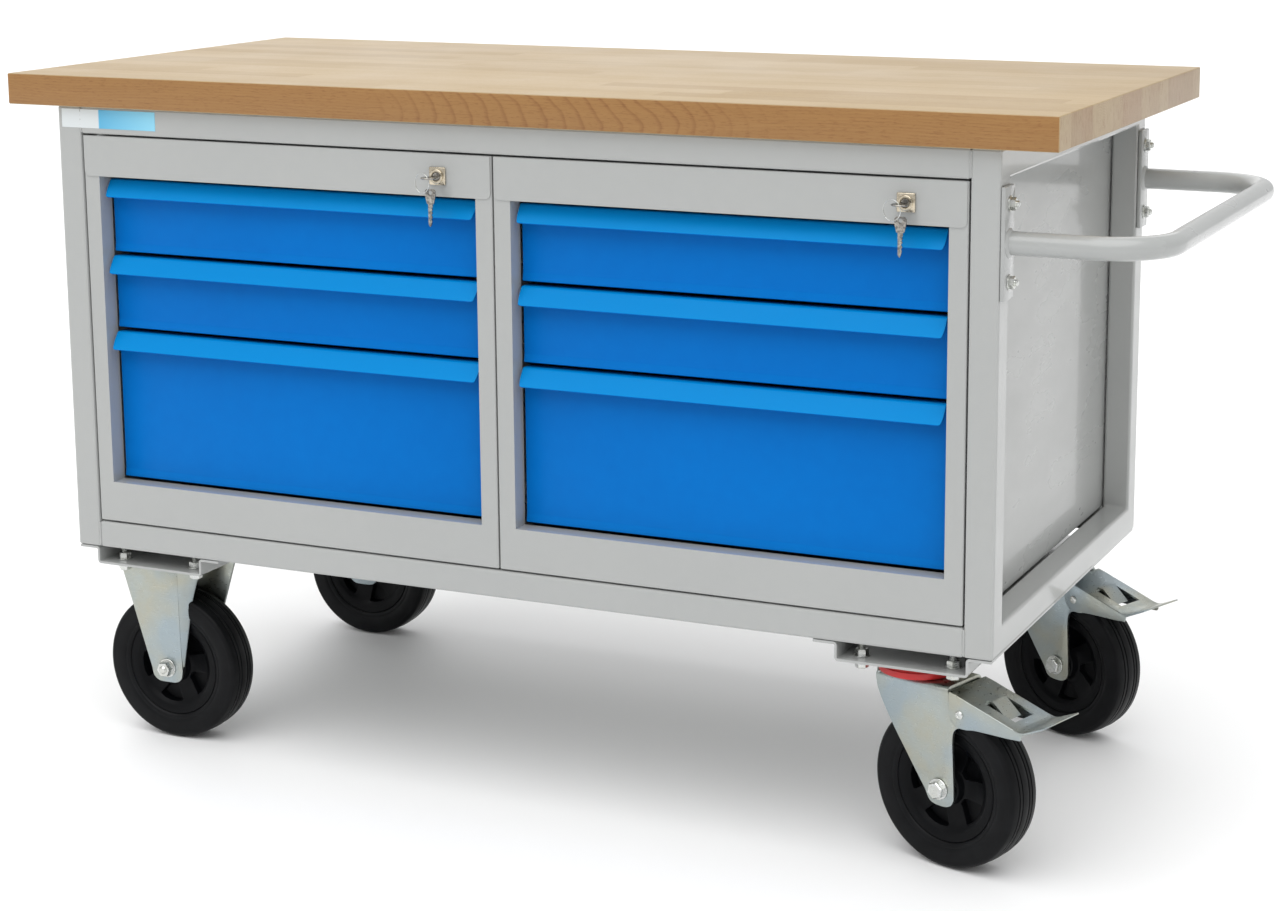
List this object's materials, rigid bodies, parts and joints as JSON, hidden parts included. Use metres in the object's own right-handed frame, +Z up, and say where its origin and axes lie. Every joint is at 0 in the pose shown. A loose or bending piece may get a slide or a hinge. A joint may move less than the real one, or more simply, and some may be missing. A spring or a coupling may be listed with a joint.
{
  "type": "mobile workbench with drawers",
  "caption": "Mobile workbench with a glued beech top on a square tube frame, locking drawer cabinets, a push handle and braked swivel casters.",
  "frame": {"origin": "on the floor, under the centre of the whole bench", "axes": "+X along the bench toward the push handle, +Y toward the back, away from the drawers, +Z up"},
  "size_m": [1.52, 0.67, 0.89],
  "materials": {
    "beech": "oiled satin",
    "grey_powder_coat": "semi-gloss powder coat",
    "blue_powder_coat": "semi-gloss powder coat",
    "zinc_plated_steel": "yellow passivated zinc",
    "nickel": "polished nickel",
    "black_plastic": "moulded polypropylene",
    "black_rubber": "solid rubber",
    "red_plastic": "moulded seal"
  },
  "bodies": {
    "bench": {"worktop": "beech", "left_end_frame": "grey_powder_coat", "right_end_frame": "grey_powder_coat", "front_top_rail": "grey_powder_coat", "front_bottom_rail": "grey_powder_coat", "rear_top_rail": "grey_powder_coat", "rear_bottom_rail": "grey_powder_coat", "left_caster_channel": "grey_powder_coat", "right_caster_channel": "grey_powder_coat", "push_handle": "grey_powder_coat", "front_fixed_caster_bracket": "zinc_plated_steel", "front_fixed_caster_axle": "zinc_plated_steel", "front_swivel_caster_top_plate": "zinc_plated_steel", "front_swivel_caster_dust_ring": "red_plastic", "rear_fixed_caster_bracket": "zinc_plated_steel", "rear_fixed_caster_axle": "zinc_plated_steel", "rear_swivel_caster_top_plate": "zinc_plated_steel", "rear_swivel_caster_dust_ring": "red_plastic", "left_cabinet_shell": "grey_powder_coat", "left_cabinet_fascia": "grey_powder_coat", "left_cabinet_runners_left": "grey_powder_coat", "left_cabinet_runners_right": "grey_powder_coat", "left_lock_body": "nickel", "right_cabinet_shell": "grey_powder_coat", "right_cabinet_fascia": "grey_powder_coat", "right_cabinet_runners_left": "grey_powder_coat", "right_cabinet_runners_right": "grey_powder_coat", "right_lock_body": "nickel"},
    "front_fixed_caster_wheel": {"front_fixed_caster_rim": "black_plastic", "front_fixed_caster_tyre": "black_rubber"},
    "rear_fixed_caster_wheel": {"rear_fixed_caster_rim": "black_plastic", "rear_fixed_caster_tyre": "black_rubber"},
    "front_swivel": {"front_swivel_caster_fork": "zinc_plated_steel", "front_swivel_caster_axle": "zinc_plated_steel"},
    "front_brake_pedal": {"front_swivel_caster_pedal": "zinc_plated_steel"},
    "front_swivel_caster_wheel": {"front_swivel_caster_rim": "black_plastic", "front_swivel_caster_tyre": "black_rubber"},
    "rear_swivel": {"rear_swivel_caster_fork": "zinc_plated_steel", "rear_swivel_caster_axle": "zinc_plated_steel"},
    "rear_brake_pedal": {"rear_swivel_caster_pedal": "zinc_plated_steel"},
    "rear_swivel_caster_wheel": {"rear_swivel_caster_rim": "black_plastic", "rear_swivel_caster_tyre": "black_rubber"},
    "left_top_drawer": {"left_top_drawer_front": "blue_powder_coat", "left_top_drawer_box": "grey_powder_coat"},
    "left_middle_drawer": {"left_middle_drawer_front": "blue_powder_coat", "left_middle_drawer_box": "grey_powder_coat"},
    "left_bottom_drawer": {"left_bottom_drawer_front": "blue_powder_coat", "left_bottom_drawer_box": "grey_powder_coat"},
    "left_key": {"left_lock_key": "nickel"},
    "left_lock_bar": {"left_lock_bar": "zinc_plated_steel"},
    "left_spare_key_hanging": {"left_spare_key": "nickel"},
    "right_top_drawer": {"right_top_drawer_front": "blue_powder_coat", "right_top_drawer_box": "grey_powder_coat"},
    "right_middle_drawer": {"right_middle_drawer_front": "blue_powder_coat", "right_middle_drawer_box": "grey_powder_coat"},
    "right_bottom_drawer": {"right_bottom_drawer_front": "blue_powder_coat", "right_bottom_drawer_box": "grey_powder_coat"},
    "right_key": {"right_lock_key": "nickel"},
    "right_lock_bar": {"right_lock_bar": "zinc_plated_steel"},
    "right_spare_key_hanging": {"right_spare_key": "nickel"}
  },
  "joints": [
    {"name": "front_fixed_caster_wheel_roll", "type": "hinge", "parent": "bench", "child": "front_fixed_caster_wheel", "pos_m": [-0.5815, -0.238, 0.1], "axis": [0, 1, 0], "continuous": true},
    {"name": "rear_fixed_caster_wheel_roll", "type": "hinge", "parent": "bench", "child": "rear_fixed_caster_wheel", "pos_m": [-0.5815, 0.26, 0.1], "axis": [0, 1, 0], "continuous": true},
    {"name": "front_swivel_turn", "type": "hinge", "parent": "bench", "child": "front_swivel", "pos_m": [0.4615, -0.238, 0.2254], "axis": [0, 0, 1], "continuous": true},
    {"name": "front_swivel_caster_wheel_roll", "type": "hinge", "parent": "front_swivel", "child": "front_swivel_caster_wheel", "pos_m": [0.5141, -0.25408, 0.1], "axis": [0.2924, 0.9563, 0], "continuous": true},
    {"name": "front_brake_press", "type": "hinge", "parent": "front_swivel", "child": "front_brake_pedal", "pos_m": [0.54279, -0.26285, 0.197], "axis": [0.2924, 0.9563, 0], "range_deg": [0, 12]},
    {"name": "rear_swivel_turn", "type": "hinge", "parent": "bench", "child": "rear_swivel", "pos_m": [0.4615, 0.26, 0.2254], "axis": [0, 0, 1], "continuous": true},
    {"name": "rear_swivel_caster_wheel_roll", "type": "hinge", "parent": "rear_swivel", "child": "rear_swivel_caster_wheel", "pos_m": [0.5125, 0.2394, 0.1], "axis": [0.3746, 0.9272, 0], "continuous": true},
    {"name": "rear_brake_press", "type": "hinge", "parent": "rear_swivel", "child": "rear_brake_pedal", "pos_m": [0.54031, 0.22816, 0.197], "axis": [0.3746, 0.9272, 0], "range_deg": [0, 12]},
    {"name": "left_top_drawer_slide", "type": "slide", "parent": "bench", "child": "left_top_drawer", "axis": [0, -1, 0], "range_m": [0, 0.4]},
    {"name": "left_middle_drawer_slide", "type": "slide", "parent": "bench", "child": "left_middle_drawer", "axis": [0, -1, 0], "range_m": [0, 0.4]},
    {"name": "left_bottom_drawer_slide", "type": "slide", "parent": "bench", "child": "left_bottom_drawer", "axis": [0, -1, 0], "range_m": [0, 0.4]},
    {"name": "left_key_turn", "type": "hinge", "parent": "bench", "child": "left_key", "pos_m": [-0.133, -0.3033, 0.786], "axis": [0, 1, 0], "range_deg": [0, 90]},
    {"name": "left_lock_bar_slide", "type": "slide", "parent": "bench", "child": "left_lock_bar", "axis": [0, 0, -1], "range_m": [0, 0.008]},
    {"name": "left_spare_key_swing", "type": "hinge", "parent": "bench", "child": "left_spare_key_hanging", "pos_m": [-0.133, -0.3225, 0.786], "axis": [1, 0, 0], "range_deg": [-80, 4]},
    {"name": "right_top_drawer_slide", "type": "slide", "parent": "bench", "child": "right_top_drawer", "axis": [0, -1, 0], "range_m": [0, 0.4]},
    {"name": "right_middle_drawer_slide", "type": "slide", "parent": "bench", "child": "right_middle_drawer", "axis": [0, -1, 0], "range_m": [0, 0.4]},
    {"name": "right_bottom_drawer_slide", "type": "slide", "parent": "bench", "child": "right_bottom_drawer", "axis": [0, -1, 0], "range_m": [0, 0.4]},
    {"name": "right_key_turn", "type": "hinge", "parent": "bench", "child": "right_key", "pos_m": [0.463, -0.3033, 0.786], "axis": [0, 1, 0], "range_deg": [0, 90]},
    {"name": "right_lock_bar_slide", "type": "slide", "parent": "bench", "child": "right_lock_bar", "axis": [0, 0, -1], "range_m": [0, 0.008]},
    {"name": "right_spare_key_swing", "type": "hinge", "parent": "bench", "child": "right_spare_key_hanging", "pos_m": [0.463, -0.3225, 0.786], "axis": [1, 0, 0], "range_deg": [-80, 4]}
  ],
  "couplings": [
    {"joint": "left_key_turn", "follows": "left_lock_bar_slide", "rad_per_m": 196.35},
    {"joint": "right_key_turn", "follows": "right_lock_bar_slide", "rad_per_m": 196.35}
  ]
}
